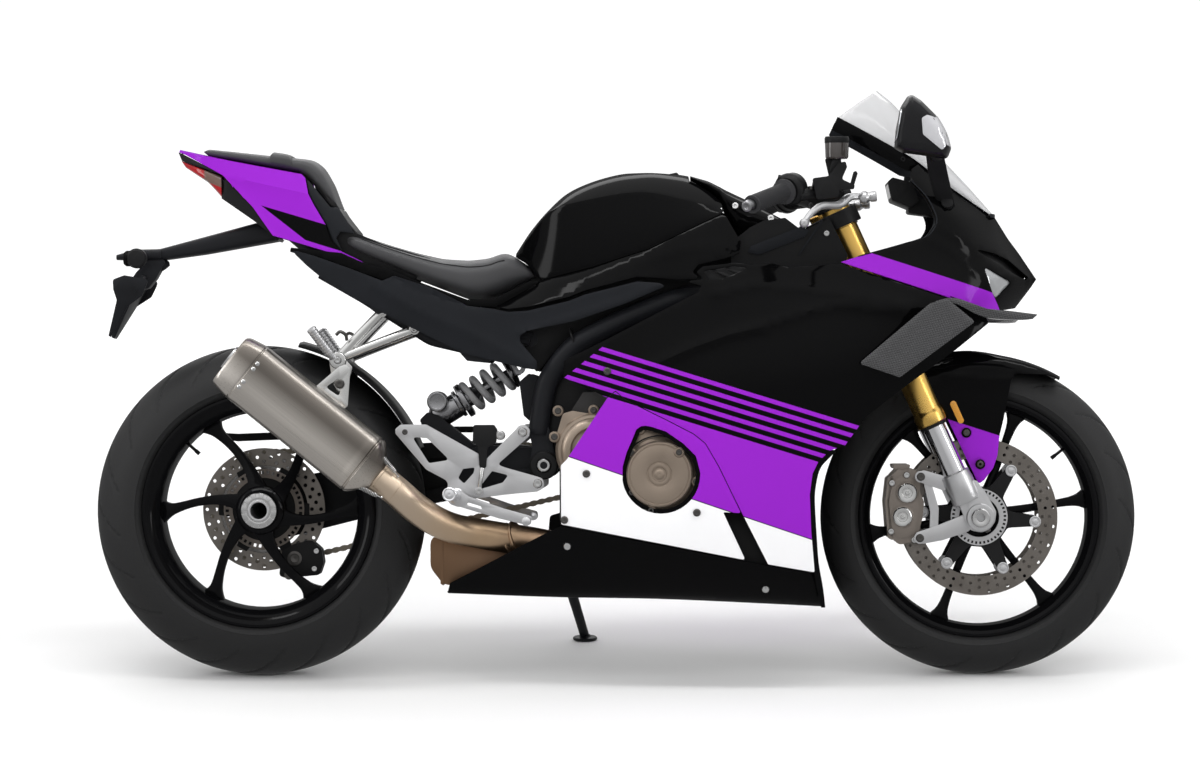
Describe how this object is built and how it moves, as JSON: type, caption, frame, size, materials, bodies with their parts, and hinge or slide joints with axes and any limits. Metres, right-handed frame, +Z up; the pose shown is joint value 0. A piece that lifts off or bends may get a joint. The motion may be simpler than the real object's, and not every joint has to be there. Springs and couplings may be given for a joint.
{
  "type": "sport bike",
  "caption": "Full-faired road sport bike with a single-sided swingarm, upside-down fork, high exhaust, wings and a hinged fuel cap, leaning on its side stand.",
  "frame": {"origin": "bottom centre of the bounding box: on the floor, midway along the bike's length and across its leaning width", "axes": "+X is forward along the wheelbase, +Y is to the rider's left, the side it leans to, +Z is up"},
  "size_m": [1.9849, 0.7776, 1.1442],
  "materials": {
    "black_plastic": "satin black moulding",
    "caliper_grey": "bronze grey",
    "carbon": "woven, clear coated",
    "cast_alloy": "bead blasted",
    "chain_steel": "oiled steel",
    "chrome": "hard chrome",
    "clear_lens": "clear lens",
    "cover_bronze": "satin bronze paint",
    "disc_steel": "ground steel",
    "display": "dark panel",
    "engine_paint": "dark grey cast metal",
    "frame_paint": "satin black powder coat",
    "gloss_black": "deep gloss paint",
    "gloss_purple": "gloss paint",
    "gold": "gold anodised",
    "heated_pipe": "heat tinted",
    "matte_grey": "matte moulded plastic",
    "polished_alloy": "polished",
    "red_lens": "red lens",
    "rubber": "soft grip",
    "screen": "light smoke",
    "seat_vinyl": "satin vinyl",
    "shock_metal": "gunmetal",
    "titanium": "brushed, warm grey",
    "tyre": "rubber",
    "wheel_black": "gloss black"
  },
  "bodies": {
    "chassis": {"main_frame": "frame_paint", "subframe": "frame_paint", "engine_block": "engine_paint", "engine_covers": "cover_bronze", "radiator": "black_plastic", "exhaust_pipe": "heated_pipe", "silencer": "titanium", "swingarm": "frame_paint", "shock_absorber": "shock_metal", "rearset_plates": "cast_alloy", "foot_controls": "cast_alloy", "passenger_brackets": "polished_alloy", "rider_seat": "seat_vinyl", "pillion_seat": "seat_vinyl", "tail_cowl": "gloss_purple", "tail_light": "red_lens", "undertray": "black_plastic", "plate_holder": "black_plastic", "seat_side_panels": "matte_grey", "fuel_tank": "gloss_black", "filler_bezel": "cast_alloy", "tank_cover": "gloss_black", "side_fairing_right": "gloss_black", "side_fairing_left": "gloss_black", "upper_fairing": "gloss_black", "headlights": "clear_lens", "belly_pan": "gloss_black", "winglets": "carbon", "windscreen": "screen", "mirrors": "black_plastic", "dash_display": "display", "rear_hugger": "black_plastic", "chain": "chain_steel", "chain_guard": "black_plastic", "rear_caliper": "caliper_grey", "stand_bracket": "frame_paint"},
    "front_end": {"triple_clamps": "frame_paint", "fork_outer_tubes": "gold", "fork_inner_tubes": "chrome", "fork_bottoms": "cast_alloy", "front_spindle": "chrome", "front_calipers": "caliper_grey", "front_fender": "gloss_black", "handlebars": "frame_paint", "grips": "rubber", "hand_controls": "black_plastic"},
    "front_wheel": {"front_rim": "wheel_black", "front_tyre": "tyre", "front_discs": "disc_steel"},
    "rear_wheel": {"rear_rim": "wheel_black", "rear_tyre": "tyre", "rear_disc": "disc_steel", "rear_sprocket": "chain_steel", "rear_spindle": "cast_alloy"},
    "side_stand": {"side_stand": "frame_paint"},
    "fuel_cap": {"fuel_cap": "cast_alloy"}
  },
  "joints": [
    {"name": "steering", "type": "hinge", "parent": "chassis", "child": "front_end", "pos_m": [0.43788, -0.03949, 0.76237], "axis": [-0.4099, 0.1427, 0.9009], "range_deg": [-26, 26]},
    {"name": "front_wheel_spin", "type": "hinge", "parent": "front_end", "child": "front_wheel", "pos_m": [0.6925, -0.11319, 0.29705], "axis": [0, 0.9877, -0.1564], "continuous": true},
    {"name": "rear_wheel_spin", "type": "hinge", "parent": "chassis", "child": "rear_wheel", "pos_m": [-0.6775, -0.11079, 0.31223], "axis": [0, 0.9877, -0.1564], "continuous": true},
    {"name": "side_stand_fold", "type": "hinge", "parent": "chassis", "child": "side_stand", "pos_m": [-0.1175, 0.05446, 0.20494], "axis": [0, 0.8686, 0.4955], "range_deg": [0, 95]},
    {"name": "fuel_cap_hinge", "type": "hinge", "parent": "chassis", "child": "fuel_cap", "pos_m": [0.1195, -0.01077, 0.94374], "axis": [0, 0.9877, -0.1564], "range_deg": [0, 100]}
  ]
}
